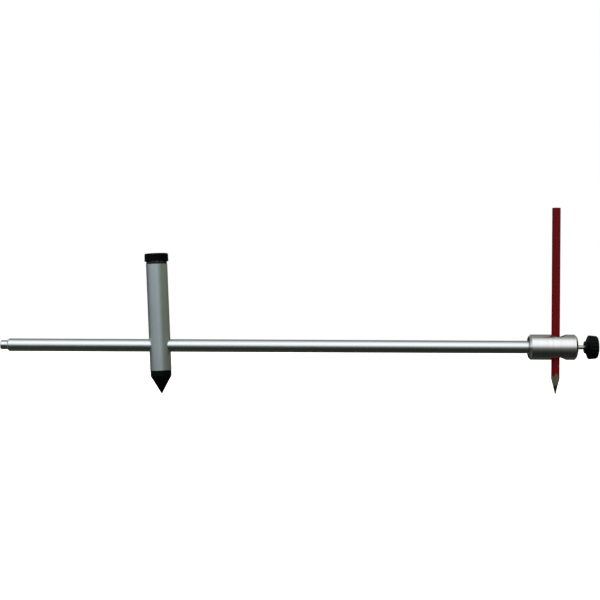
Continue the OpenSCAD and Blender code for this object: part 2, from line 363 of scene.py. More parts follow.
class Marks(Enum):
    """What the last tool left on a metal face."""

    DRAWN = "drawn"
    TURNED = "turned"


def shaded(color: Color, factor: float = 1.0) -> tuple[float, float, float, float]:
    """Makes a colour darker or lighter by a factor."""
    return (color[0] * factor, color[1] * factor, color[2] * factor, 1.0)


class Skin:
    """A material in the making, with the point in the piece's own place."""

    def __init__(self, material: Material, place: Matrix) -> None:
        """Opens the material's nodes.

        Args:
            material: the new material.
            place: the place whose axis its patterns follow.
        """
        material.use_nodes = True
        self.graph = Graph(material.node_tree)
        self.shader = material.node_tree.nodes["Principled BSDF"]
        self.point = self.graph.local(place)

    def put(self, name: str, value: object) -> None:
        """Gives one of the shader's sockets a pattern or a plain value."""
        self.graph.feed(self.shader.inputs[name], value)

    def marks(self, kind: Effect, result: str, *values: float) -> NodeSocket:
        """Gives one pattern of a shared effect at the skin's point."""
        return self.graph.effect(kind, self.point, *values).outputs[result]

    def toned(self, pattern: NodeSocket, color: Color, tones: tuple[float, float]) -> NodeSocket:
        """Makes a colour that a pattern turns darker or lighter."""
        return self.graph.blend(pattern, shaded(color, tones[0]), shaded(color, tones[1]))

    def dull(self, pattern: NodeSocket, roughness: float, change: float) -> None:
        """Lets a pattern make the surface smoother or rougher."""
        self.put("Roughness", self.graph.spread(pattern, roughness - change, roughness + change))

    def relief(self, height: NodeSocket, depth: float) -> None:
        """Roughens the surface by a height pattern.

        Args:
            height: the pattern, from 0 to 1.
            depth: how deep it is, in millimetres.
        """
        bump = self.graph.node("Bump")
        bump.inputs["Distance"].default_value = depth * MM
        self.graph.feed(bump.inputs["Height"], height)
        self.put("Normal", bump.outputs["Normal"])


@dataclass(frozen=True)
class Finish:
    """What every finish has: a name, a colour and how rough it is."""

    name: str
    color: Color
    roughness: float

    def material(self, place: Matrix) -> Material:
        """Makes the finish's material.

        Args:
            place: the place whose axis the pattern follows.

        Returns:
            The material.
        """
        made = bpy.data.materials.new(self.name)
        skin = Skin(made, place)
        skin.put("Base Color", shaded(self.color))
        skin.put("Roughness", self.roughness)
        made.diffuse_color = shaded(self.color)
        made.roughness = self.roughness
        self.dress(skin)
        return made

    def dress(self, skin: Skin) -> None:
        """Adds what is special to the finish; plain finishes add nothing."""


@dataclass(frozen=True)
class Metal(Finish):
    """A metal face with the marks of its last tool."""

    marks: Marks = Marks.TURNED
    pitch: float = 0.3
    color_change: float = 0.06
    gloss_change: float = 0.06
    depth: float = 0.004
    seed: float = 0.0
    patch_size: float = 22.0
    fine_share: float = 0.5
    tool_share: float = 0.6

    def dress(self, skin: Skin) -> None:
        """Adds tool marks to the colour, the gloss and the relief.

        Args:
            skin: the material in the making.
        """
        graph = skin.graph
        skin.put("Metallic", 1.0)
        patches = skin.marks(Effect.HANDLING, "Patches", self.patch_size)
        if self.marks is Marks.TURNED:
            turning = graph.effect(Effect.TURNING, skin.point, self.pitch, self.seed)
            fine = turning.outputs["Rings"]
            broad = turning.outputs["Bands"]
        else:
            fine = skin.marks(Effect.DRAWING, "Lines", self.pitch)
            broad = patches
        tone = graph.weighed(fine, broad, self.fine_share)
        tones = (1 - self.color_change, 1 + self.color_change)
        skin.put("Base Color", skin.toned(tone, self.color, tones))
        skin.dull(graph.weighed(tone, patches, self.tool_share), self.roughness, self.gloss_change)
        skin.relief(fine, self.depth)


@dataclass(frozen=True)
class Plastic(Finish):
    """Moulded or turned plastic with a fine grain and a little dust."""

    gloss: float = 0.3
    grain: float = 0.35
    depth: float = 0.01
    dust: float = 0.05
    rings: float = 0.0
    ring_seed: float = 3.0
    grain_share: float = 0.4
    patch_size: float = 12.0
    tones: tuple[float, float] = (0.85, 1.2)
    gloss_change: float = 0.07
    dust_color: Color = (0.5, 0.5, 0.48)

    def dress(self, skin: Skin) -> None:
        """Adds grain, dust and, on turned pieces, rings.

        Args:
            skin: the material in the making.
        """
        graph = skin.graph
        skin.put("Specular IOR Level", self.gloss)
        grained = graph.effect(Effect.GRAIN, skin.point, self.grain)
        patches = skin.marks(Effect.HANDLING, "Patches", self.patch_size)
        dusty = graph.math("MULTIPLY", grained.outputs["Specks"], self.dust)
        color = skin.toned(patches, self.color, self.tones)
        skin.put("Base Color", graph.blend(dusty, color, shaded(self.dust_color)))
        skin.dull(patches, self.roughness, self.gloss_change)
        height = grained.outputs["Grain"]
        if self.rings:
            rings = skin.marks(Effect.TURNING, "Rings", self.rings, self.ring_seed)
            height = graph.math("ADD", graph.math("MULTIPLY", height, self.grain_share), rings)
        skin.relief(height, self.depth)


@dataclass(frozen=True)
class Lacquer(Finish):
    """Glossy lacquer over wood, with faint scuffs along the pencil."""

    gloss: float = 0.07
    coat_roughness: float = 0.12
    coat_ior: float = 1.45
    coat: tuple[float, float] = (0.14, 0.06)
    line_width: float = 0.5
    line_share: float = 0.4
    patch_size: float = 7.0
    tones: tuple[float, float] = (0.88, 1.12)
    depth: float = 0.012

    def dress(self, skin: Skin) -> None:
        """Adds the clear top coat, uneven colour and scuffs.

        Args:
            skin: the material in the making.
        """
        graph = skin.graph
        skin.put("Specular IOR Level", self.gloss)
        skin.put("Coat Roughness", self.coat_roughness)
        skin.put("Coat IOR", self.coat_ior)
        lines = skin.marks(Effect.DRAWING, "Lines", self.line_width)
        patches = skin.marks(Effect.HANDLING, "Patches", self.patch_size)
        tone = graph.weighed(lines, patches, self.line_share)
        skin.put("Base Color", skin.toned(tone, self.color, self.tones))
        skin.put("Coat Weight", graph.spread(patches, *self.coat))
        skin.relief(tone, self.depth)


@dataclass(frozen=True)
class BareWood(Finish):
    """Cut cedar: streaks along the pencil and rings on its end."""

    dark: Color = (0.05, 0.03, 0.02)
    squeeze: tuple[float, float, float] = (1.6, 1.6, 0.12)
    pore_size: float = 0.35
    streak_share: float = 0.65
    depth: float = 0.03

    def dress(self, skin: Skin) -> None:
        """Adds the wood's streaks and pores.

        Args:
            skin: the material in the making.
        """
        graph = skin.graph
        squeezed = graph.vector("MULTIPLY", skin.point, self.squeeze)
        streaks = graph.noise(squeezed, 4.0, roughness=0.7)
        pores = graph.effect(Effect.GRAIN, squeezed, self.pore_size).outputs["Grain"]
        tone = graph.weighed(streaks, pores, self.streak_share)
        skin.put("Base Color", graph.blend(tone, shaded(self.dark), shaded(self.color)))
        skin.relief(tone, self.depth)


@dataclass(frozen=True)
class Graphite(Finish):
    """Lead with the short streaks that writing and sharpening leave."""

    metal_share: float = 0.3
    grain_size: float = 0.25
    tones: tuple[float, float] = (0.6, 1.4)
    gloss_change: float = 0.1
    depth: float = 0.02

    def dress(self, skin: Skin) -> None:
        """Adds streaks to the colour, the gloss and the relief.

        Args:
            skin: the material in the making.
        """
        skin.put("Metallic", self.metal_share)
        grain = skin.marks(Effect.GRAIN, "Grain", self.grain_size)
        skin.put("Base Color", skin.toned(grain, self.color, self.tones))
        skin.dull(grain, self.roughness, self.gloss_change)
        skin.relief(grain, self.depth)


SATIN_TUBE = Metal("satin_tube", (0.77, 0.80, 0.81), 0.25, marks=Marks.DRAWN, pitch=0.5,
                   color_change=0.025, gloss_change=0.03, depth=0.0002)
MATT_TUBE = Metal("matt_tube", (0.555, 0.63, 0.655), 0.41, marks=Marks.DRAWN, pitch=0.9,
                  color_change=0.05, gloss_change=0.03, depth=0.001)
TURNED_ALUMINIUM = Metal("turned_aluminium", (0.76, 0.8, 0.81), 0.13, pitch=0.25, gloss_change=0.03,
                         depth=0.001)
TURNED_HEAD = Metal("turned_head", (0.76, 0.775, 0.775), 0.19, pitch=0.55, color_change=0.1,
                    gloss_change=0.05, depth=0.0006, seed=11.0)
# Painted shade: a near-black finish for the pencil hole's walls and the head's flat left end. It stands
# in for the shade that falls inside the hole and on the unlit end face.
HEAD_PAINTED_SHADE = Metal("head_painted_shade", (0.12, 0.125, 0.12), 0.42, pitch=0.4, color_change=0.1,
                     gloss_change=0.05, depth=0.003, seed=17.0)
BLACK_STEEL = Metal("black_steel", (0.08, 0.08, 0.085), 0.42, pitch=0.3, depth=0.002)
PLATED_STEEL = Metal("plated_steel", (0.74, 0.77, 0.76), 0.2, pitch=0.4, depth=0.001)
BRASS = Metal("brass", (0.78, 0.6, 0.27), 0.26, pitch=0.3, depth=0.001)
BLACK_PLASTIC = Plastic("black_plastic", (0.003, 0.0045, 0.0045), 0.45, gloss=0.08, grain=0.4,
                        depth=0.01, dust=0.01)
BLACK_CAP = Plastic("black_cap", (0.0018, 0.003, 0.0036), 0.45, gloss=0.05, grain=0.35, depth=0.01,
                    dust=0.004)
BLACK_POINT = Plastic("black_point", (0.0022, 0.0036, 0.004), 0.5, gloss=0.08, grain=0.3, depth=0.005,
                      dust=0.01, rings=0.4)
GREY_PLASTIC = Plastic("grey_plastic", (0.03, 0.034, 0.037), 0.45, gloss=0.2, grain=0.3, depth=0.005,
                       dust=0.02, rings=0.35)
LINER_PLASTIC = Plastic("liner_plastic", (0.012, 0.012, 0.013), 0.5, gloss=0.2, grain=0.4, depth=0.005,
                        dust=0.02)
LACQUER = Lacquer("lacquered_wood", (0.23, 0.004, 0.0075), 0.4)
BARE_WOOD = BareWood("bare_wood", (0.3, 0.26, 0.18), 0.8)
GRAPHITE = Graphite("graphite", (0.011, 0.011, 0.011), 0.5)


# Mesh tools

@dataclass(frozen=True)
class Corner:
    """A corner of a turned piece's outline, and the radius it is rounded to."""

    r: float
    z: float
    round: float = 0.0
    steps: int = 3


def rounded(made: BMesh, parts: list, size: float, steps: int = 1, edges: bool = False) -> None:
    """Rounds or breaks some of a mesh's corners or edges.

    Args:
        made: the mesh.
        parts: its corners, or its edges.
        size: how far the rounding reaches along what meets there.
        steps: the number of faces that make it.
        edges: True where the parts are edges.
    """
    bmesh.ops.bevel(made, geom=parts, offset=size, offset_type="OFFSET", segments=steps,
                    profile=0.5, affect="EDGES" if edges else "VERTICES", material=-1)


def outline(corners: list[Corner], closed: bool = False) -> BMesh:
    """Draws a turned piece's outline in the plane of +X and +Z.

    Args:
        corners: the corners in order.
        closed: True for a ring that keeps off the axis.

    Returns:
        The outline, with its corners rounded.
    """
    made = bmesh.new()
    points = [made.verts.new((corner.r, 0, corner.z)) for corner in corners]
    ends = points[1:] + points[:1] if closed else points[1:]
    for first, second in zip(points, ends):
        made.edges.new((first, second))
    for corner, point in zip(corners, points):
        if corner.round:
            rounded(made, [point], corner.round, corner.steps)
    return made


def turned(corners: list[Corner], closed: bool = False, steps: int = FINE_ROUND) -> BMesh:
    """Turns an outline about +Z into a closed solid.

    Args:
        corners: the outline's corners in order.
        closed: True for a ring that keeps off the axis.
        steps: the number of faces round the piece.

    Returns:
        The solid.
    """
    return spun(outline(corners, closed), steps)


def spun(made: BMesh, steps: int) -> BMesh:
    """Spins an outline a full turn about +Z and closes its poles.

    Args:
        made: the outline, which becomes the solid.
        steps: the number of faces round the piece.

    Returns:
        The solid.
    """
    bmesh.ops.spin(made, geom=made.verts[:] + made.edges[:], cent=(0, 0, 0), axis=(0, 0, 1),
                   angle=math.tau, steps=steps, use_merge=True, use_duplicate=False)
    bmesh.ops.remove_doubles(made, verts=made.verts[:], dist=WELD)
    bmesh.ops.recalc_face_normals(made, faces=made.faces[:])
    return made


def rod(radius: float, low: float, high: float, steps: int = SMALL_ROUND) -> BMesh:
    """Makes a plain round bar along +Z, such as a drill's path."""
    return turned([Corner(0, low), Corner(radius, low), Corner(radius, high), Corner(0, high)],
                  steps=steps)


def moved(made: BMesh, place: Matrix) -> BMesh:
    """Moves a mesh by a matrix and gives it back."""
    bmesh.ops.transform(made, matrix=place, verts=made.verts[:])
    return made


def piece_from(made: BMesh, name: str) -> Object:
    """Makes an object of a mesh and puts it in the scene.

    Args:
        made: the mesh, which is used up.
        name: the object's name.

    Returns:
        The object.
    """
    mesh = bpy.data.meshes.new(name)
    made.to_mesh(mesh)
    made.free()
    piece = bpy.data.objects.new(name, mesh)
    bpy.context.scene.collection.objects.link(piece)
    return piece


def shaped(solid: BMesh, tools: list[BMesh], operation: str = "DIFFERENCE") -> BMesh:
    """Cuts a solid with others, or keeps what it shares with them.

    Args:
        solid: the solid, which is used up.
        tools: the other solids, which are used up.
        operation: DIFFERENCE or INTERSECT.

    Returns:
        The new solid.
    """
    held = [piece_from(part, "workpiece") for part in [solid] + tools]
    for tool in held[1:]:
        cut = held[0].modifiers.new("cut", "BOOLEAN")
        cut.operation = operation
        cut.solver = "EXACT"
        cut.object = tool
    graph = bpy.context.evaluated_depsgraph_get()
    result = bmesh.new()
    result.from_mesh(held[0].evaluated_get(graph).to_mesh())
    for piece in held:
        mesh = piece.data
        bpy.data.objects.remove(piece)
        bpy.data.meshes.remove(mesh)
    bmesh.ops.remove_doubles(result, verts=result.verts[:], dist=WELD)
    return result


def press_grooves(made: BMesh, count: int, depth: float, half_width: float,
                  rim: tuple[float, float], fall: float = 0.0) -> None:
    """Presses even grooves into the rim of a turned piece, along its side.

    Args:
        made: the turned piece.
        count: the number of grooves.
        depth: how deep a groove is.
        half_width: half a groove's width along the rim.
        rim: the rim's radius, and the height where it has that radius.
        fall: how much the rim's radius falls for each millimetre of height.
    """
    radius, height = rim
    pitch = math.tau / count
    for vertex in made.verts:
        reach = math.hypot(vertex.co.x, vertex.co.y)
        if reach < radius / 2:
            continue
        angle = math.atan2(vertex.co.y, vertex.co.x)
        off = abs((angle % pitch) - pitch / 2) * radius
        if off >= half_width:
            continue
        press = depth * (1 + math.cos(math.pi * off / half_width)) / 2
        line = radius - (vertex.co.z - height) * fall - press
        if reach > line:
            vertex.co.x *= line / reach
            vertex.co.y *= line / reach


def mounted(made: BMesh, name: str, place: Matrix, finishes: list[Finish], body: str,
            *nodes: str) -> None:
    """Sets a finished mesh in its place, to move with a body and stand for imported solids.

    Args:
        made: the mesh in the place's millimetres, which is used up.
        name: the piece's name.
        place: where it goes.
        finishes: its finishes, in the order of the faces' material numbers. The first
            has the name of the record's material slot.
        body: the body it rides on.
        nodes: the solids it stands for.
    """
    piece = piece_from(moved(made, place), name)
    mesh = piece.data
    mesh.shade_smooth()
    mesh.set_sharp_from_angle(angle=CREASE)
    for finish in finishes:
        mesh.materials.append(finish.material(place))
    even = piece.modifiers.new("even_shading", "WEIGHTED_NORMAL")
    even.keep_sharp = True
    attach(piece, body)
    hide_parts(*nodes)
    log.info("%s: %d faces, rides on %s", name, len(mesh.polygons), body)


# Pieces

@dataclass
class RoundBeam:
    """The satin tube and the turned spigot in its free end."""

    layout: Layout
    radius: float = 6.0
    wall: float = 1.5
    end_bevel: float = 1.35
    lip: float = 0.05
    edge: float = 0.25
    fit: float = 0.02
    spigot_radius: float = 4.3
    spigot_bevel: float = 0.6
    spigot_edge: float = 0.1
    drill_radius: float = 0.9
    drill_depth: float = 0.9

    def build(self) -> None:
        """Builds both pieces."""
        self.tube()
        self.spigot()

    def tube(self) -> None:
        """The long tube, bevelled at both ends."""
        low, high = self.layout.span("beam_tube", self.layout.beam)
        bore = self.radius - self.wall
        flat = self.radius - self.end_bevel
        made = turned([
            Corner(bore, low),
            Corner(flat, low, self.lip),
            Corner(self.radius, low + self.end_bevel, self.edge),
            Corner(self.radius, high - self.end_bevel, self.edge),
            Corner(flat, high, self.lip),
            Corner(bore, high),
        ], closed=True)
        mounted(made, "satin_beam", self.layout.beam, [SATIN_TUBE], "beam", "beam_tube")

    def spigot(self) -> None:
        """The bright spigot, with a centre drilling in its face."""
        tip, inner = self.layout.span("joining_spigot", self.layout.beam)
        shoulder = self.layout.span("beam_tube", self.layout.beam)[0]
        shank = self.radius - self.wall - self.fit
        made = turned([
            Corner(0, tip + self.drill_depth),
            Corner(self.drill_radius, tip, self.lip),
            Corner(self.spigot_radius - self.spigot_bevel, tip, self.spigot_edge),
            Corner(self.spigot_radius, tip + self.spigot_bevel, self.spigot_edge),
            Corner(self.spigot_radius, shoulder),
            Corner(shank, shoulder),
            Corner(shank, inner - self.spigot_bevel),
            Corner(shank - self.spigot_bevel, inner),
            Corner(0, inner),
        ])
        mounted(made, "bright_spigot", self.layout.beam, [TURNED_ALUMINIUM], "beam", "joining_spigot")


@dataclass
class PencilHead:
    """The turned head: seats for beam and spigot, and holes for pencil and screws."""

    layout: Layout
    radius: float = 12.0
    bevel: float = 1.9
    seat_radius: float = 6.02
    seat_depth: float = 10.0
    spigot_radius: float = 4.35
    spigot_depth: float = 17.2
    pencil_hole_radius: float = 7.0
    pencil_hole_at: float = 28.3
    screw_hole_radius: float = 2.05
    set_screw_at: float = 5.0
    set_screw_radius: float = 2.02
    seat_chamfer: float = 0.4
    edge: float = 0.2
    edge_break: float = 0.3
    near: float = 0.01

    def build(self) -> None:
        """Builds the head."""
        low, high = self.layout.span("pencil_head", self.layout.beam)
        hole = low + self.pencil_hole_at
        solid = turned([
            Corner(0, low + self.spigot_depth),
            Corner(self.spigot_radius, low + self.spigot_depth),
            Corner(self.spigot_radius, low + self.seat_depth),
            Corner(self.seat_radius, low + self.seat_depth),
            Corner(self.seat_radius, low, self.seat_chamfer, steps=1),
            Corner(self.radius - self.bevel, low, self.edge),
            Corner(self.radius, low + self.bevel, self.edge),
            Corner(self.radius, high - self.bevel, self.edge),
            Corner(self.radius - self.bevel, high, self.edge),
            Corner(self.screw_hole_radius, high, self.edge_break, steps=1),
            Corner(self.screw_hole_radius, hole),
            Corner(0, hole),
        ])
        across = 2 * self.radius
        screw_hole = low + self.set_screw_at
        upright = Matrix.Translation((0, 0, hole)) @ Matrix.Rotation(QUARTER, 4, "Y")
        backward = Matrix.Translation((0, 0, screw_hole)) @ Matrix.Rotation(-QUARTER, 4, "X")
        drills = [
            moved(rod(self.pencil_hole_radius, -across, across, FINE_ROUND), upright),
            moved(rod(self.set_screw_radius, 0, across), backward),
        ]
        made = shaped(solid, drills)
        rim = [side for side in made.edges if all(
            abs(math.hypot(end.co.y, end.co.z - hole) - self.pencil_hole_radius) < self.near
            and math.hypot(end.co.x, end.co.y) > self.radius - 5 * self.near for end in side.verts)]
        rounded(made, rim, self.edge_break, edges=True)
        # Painted shade: faces inside the pencil hole and on the flat left end take the second, dark
        # finish, which paints the shade that falls there.
        for face in made.faces:
            middle = face.calc_center_median()
            reach = math.hypot(middle.y, middle.z - hole)
            painted_shade_in_hole = reach < self.pencil_hole_radius + self.edge_break / 2
            face.material_index = int(painted_shade_in_hole or middle.z < low + self.near)
        mounted(made, "turned_pencil_head", self.layout.beam, [TURNED_HEAD, HEAD_PAINTED_SHADE], "beam",
                "pencil_head")


@dataclass
class ThumbScrew:
    """The plated screw with its thread, and the fluted knob on it.

    The thread's profile is given by radii and by heights as shares of its pitch.
    """

    layout: Layout
    radius: float = 2.0
    pitch: float = 0.7
    thread_profile: tuple[tuple[float, float], ...] = (
        (1.7, 0.0), (1.7, 0.17), (2.0, 0.44), (2.0, 0.6), (1.7, 0.87), (1.7, 1.0))
    thread_steps: int = 32
    thread_weld: float = 0.0001
    spare_turns: int = 2
    pip_radius: float = 1.2
    pip_length: float = 1.3
    pip_edge: float = 0.15
    bevel: float = 0.4
    held: float = 8.0
    fit: float = 0.02
    hub_radius: float = 5.75
    hub_start: float = 0.75
    hub_sink: float = 0.6
    hub_edge: float = 0.35
    hub_length: float = 2.4
    hub_step: float = 0.9
    hub_corner: float = 0.2
    step_edge: float = 0.15
    grip_radius: float = 11.35
    grip_fall: float = 0.7
    flare: float = 1.8
    flare_bevel: float = 0.6
    flare_edge: float = 0.3
    grip_length: float = 10.5
    grip_round: float = 1.8
    dome_rise: float = 1.2
    dome_cuts: int = 7
    rim_cuts: int = 3
    flutes: int = 18
    flute_depth: float = 0.45
    flute_half_width: float = 1.2
    flute_steps: int = 14

    def build(self) -> None:
        """Builds the screw and the knob."""
        self.screw()
        self.knob()

    def thread(self, low: float, high: float) -> BMesh:
        """Makes a solid threaded bar.

        Args:
            low: its lower end.
            high: its upper end.

        Returns:
            The bar, cut square at both ends.
        """
        made = bmesh.new()
        start = low - self.spare_turns * self.pitch
        points = [made.verts.new((radius, 0, start + share * self.pitch))
                  for radius, share in self.thread_profile]
        edges = [made.edges.new(pair) for pair in zip(points, points[1:])]
        turns = math.ceil((high - low) / self.pitch) + 2 * self.spare_turns
        bmesh.ops.spin(made, geom=points + edges, cent=(0, 0, 0), axis=(0, 0, 1),
                       dvec=(0, 0, self.pitch / self.thread_steps), angle=math.tau * turns,
                       steps=self.thread_steps * turns, use_duplicate=False)
        bmesh.ops.remove_doubles(made, verts=made.verts[:], dist=self.thread_weld)
        for height, outward in ((low, -1), (high, 1)):
            sliced = bmesh.ops.bisect_plane(made, geom=made.verts[:] + made.edges[:] + made.faces[:],
                                            dist=WELD, plane_co=(0, 0, height),
                                            plane_no=(0, 0, outward), clear_outer=True)
            rim = [part for part in sliced["geom_cut"] if isinstance(part, BMEdge)]
            bmesh.ops.holes_fill(made, edges=rim, sides=0)
        bmesh.ops.recalc_face_normals(made, faces=made.faces[:])
        return made

    def screw(self) -> None:
        """The threaded screw with its pip."""
        low, high = self.layout.span("thumb_screw", self.layout.beam)
        shoulder = low + self.pip_length
        envelope = turned([
            Corner(0, low),
            Corner(self.pip_radius, low, self.pip_edge),
            Corner(self.pip_radius, shoulder),
            Corner(self.radius - self.bevel, shoulder),
            Corner(self.radius, shoulder + self.bevel),
            Corner(self.radius, high - self.bevel),
            Corner(self.radius - self.bevel, high),
            Corner(0, high),
        ], steps=SMALL_ROUND)
        threaded = self.thread(low - SPARE, high + SPARE)
        made = shaped(threaded, [envelope], "INTERSECT")
        mounted(made, "plated_thumb_screw", self.layout.beam, [PLATED_STEEL], "screw", "thumb_screw")

    def knob(self) -> None:
        """The moulded knob: hub, flared underside, fluted rim and domed end."""
        low = self.layout.span("thumb_knob", self.layout.beam)[0]
        hole = self.radius + self.fit
        rim_low = low + self.hub_length + self.flare + self.flare_bevel
        edge = low + self.hub_length + self.grip_length
        end_radius = self.grip_radius - self.grip_fall
        drawn = outline([
            Corner(0, low + self.held + self.fit),
            Corner(hole, low + self.held + self.fit),
            Corner(hole, low + self.hub_start, self.hub_sink, steps=1),
            Corner(self.hub_radius, low + self.hub_start, self.hub_edge),
            Corner(self.hub_radius, low + self.hub_length, self.hub_corner),
            Corner(self.hub_radius + self.hub_step, low + self.hub_length, self.step_edge),
            Corner(self.grip_radius - self.flare_bevel, rim_low - self.flare_bevel, self.flare_edge),
            Corner(self.grip_radius, rim_low, self.flare_edge),
            Corner(end_radius, edge, self.grip_round, steps=6),
            Corner(0, edge),
        ])
        crown = [side for side in drawn.edges
                 if min(end.co.x for end in side.verts) < WELD
                 and min(end.co.z for end in side.verts) > edge - WELD]
        bmesh.ops.subdivide_edges(drawn, edges=crown, cuts=self.dome_cuts)
        dome_radius = end_radius - self.grip_round
        for vertex in drawn.verts:
            if vertex.co.z > edge - WELD and vertex.co.x < dome_radius:
                vertex.co.z += self.dome_rise * (1 - (vertex.co.x / dome_radius) ** 2)
        rim_side = [side for side in drawn.edges
                    if min(end.co.x for end in side.verts) > end_radius - WELD
                    and abs(side.verts[0].co.z - side.verts[1].co.z) > self.grip_round]
        bmesh.ops.subdivide_edges(drawn, edges=rim_side, cuts=self.rim_cuts)
        made = spun(drawn, self.flutes * self.flute_steps)
        press_grooves(made, self.flutes, self.flute_depth, self.flute_half_width,
                      (self.grip_radius, rim_low),
                      self.grip_fall / (edge - self.grip_round - rim_low))
        mounted(made, "fluted_thumb_knob", self.layout.beam, [BLACK_PLASTIC], "screw", "thumb_knob")


@dataclass
class Pencil:
    """The six-sided casing, shaved to a point by hand, and its lead.

    A cut has a height, a slope in degrees and the radius of its hollow.
    """

    layout: Layout
    sides: int = 6
    flats: float = 7.0
    edge_round: float = 0.1
    point_angle: float = 28.4
    point_radius: float = 0.2
    lead_radius: float = 2.1
    lead_fit: float = 0.02
    cone_steps: int = 144
    cut_length: float = 60.0
    end_wear: float = 0.02
    chip_width: float = 0.25
    chip_height: float = 1.0
    blunt_radius: float = 0.32
    blunt_edge: float = 0.12
    wood_reach: float = 0.5
    upright: float = 0.02
    cuts: tuple[tuple[float, float, float], ...] = (
        (20.0, 3.8, 6.0), (17.6, 4.4, 7.5), (18.2, 3.8, 5.5), (17.0, 4.2, 8.0), (18.6, 4.0, 6.5),
        (17.4, 4.5, 7.0))

    def build(self) -> None:
        """Builds the casing and the lead."""
        self.length = self.layout.span("pencil_lead", self.layout.pencil)[1] - self.end_wear
        self.casing()
        self.lead()

    def cone_height(self, radius: float) -> float:
        """Height at which the point's cone reaches a radius."""
        return (radius - self.point_radius) / math.tan(math.radians(self.point_angle / 2))

    def scoops(self) -> list[BMesh]:
        """The knife's hollow cuts, one on each flat of the casing.

        Returns:
            The rods whose sides the knife followed.
        """
        made = []
        along = self.cut_length / 2
        for count, (height, slope, radius) in enumerate(self.cuts):
            lean = Matrix.Rotation(math.radians(slope), 4, "Y")
            about = Matrix.Rotation(math.radians(360 / self.sides * count - 90), 4, "Z")
            start = Matrix.Translation((self.flats / 2 + radius, 0, height))
            made.append(moved(rod(radius, -along, along), about @ start @ lean))
        return made

    def casing(self) -> None:
        """The lacquered casing, with bare wood where it is cut."""
        corner_radius = self.flats / math.sqrt(3)
        prism = bmesh.new()
        bmesh.ops.create_circle(prism, cap_ends=True, radius=corner_radius, segments=self.sides,
                                matrix=Matrix.Rotation(math.pi / self.sides, 4, "Z"))
        rounded(prism, prism.verts[:], self.edge_round, steps=4)
        risen = bmesh.ops.extrude_face_region(prism, geom=prism.faces[:])
        top = [part for part in risen["geom"] if isinstance(part, BMVert)]
        bmesh.ops.translate(prism, vec=(0, 0, self.length), verts=top)
        bmesh.ops.recalc_face_normals(prism, faces=prism.faces[:])
        beyond = corner_radius + SPARE
        above = self.length + SPARE
        cone = turned([
            Corner(0, 0),
            Corner(self.point_radius, 0),
            Corner(beyond, self.cone_height(beyond)),
            Corner(beyond, above),
            Corner(0, above),
        ], steps=self.cone_steps)
        made = shaped(prism, [cone], "INTERSECT")
        bore = rod(self.lead_radius + self.lead_fit, -SPARE, above, FINE_ROUND)
        chipped = rod(self.lead_radius + self.chip_width, -SPARE,
                      self.cone_height(self.lead_radius) + self.chip_height, FINE_ROUND)
        made = shaped(made, self.scoops() + [bore, chipped])
        for face in made.faces:
            middle = face.calc_center_median()
            outside = math.hypot(middle.x, middle.y) > self.lead_radius + self.wood_reach
            face.material_index = 0 if outside and abs(face.normal.z) < self.upright else 1
        mounted(made, "shaved_pencil_casing", self.layout.leaning_pencil, [LACQUER, BARE_WOOD], "pencil",
                "pencil_casing")

    def lead(self) -> None:
        """The lead, with a tip blunted by marking."""
        made = turned([
            Corner(0, 0),
            Corner(self.blunt_radius, 0, self.blunt_edge),
            Corner(self.lead_radius, self.cone_height(self.lead_radius)),
            Corner(self.lead_radius, self.length),
            Corner(0, self.length),
        ], steps=SMALL_ROUND)
        mounted(made, "pencil_graphite", self.layout.leaning_pencil, [GRAPHITE], "pencil", "pencil_lead")


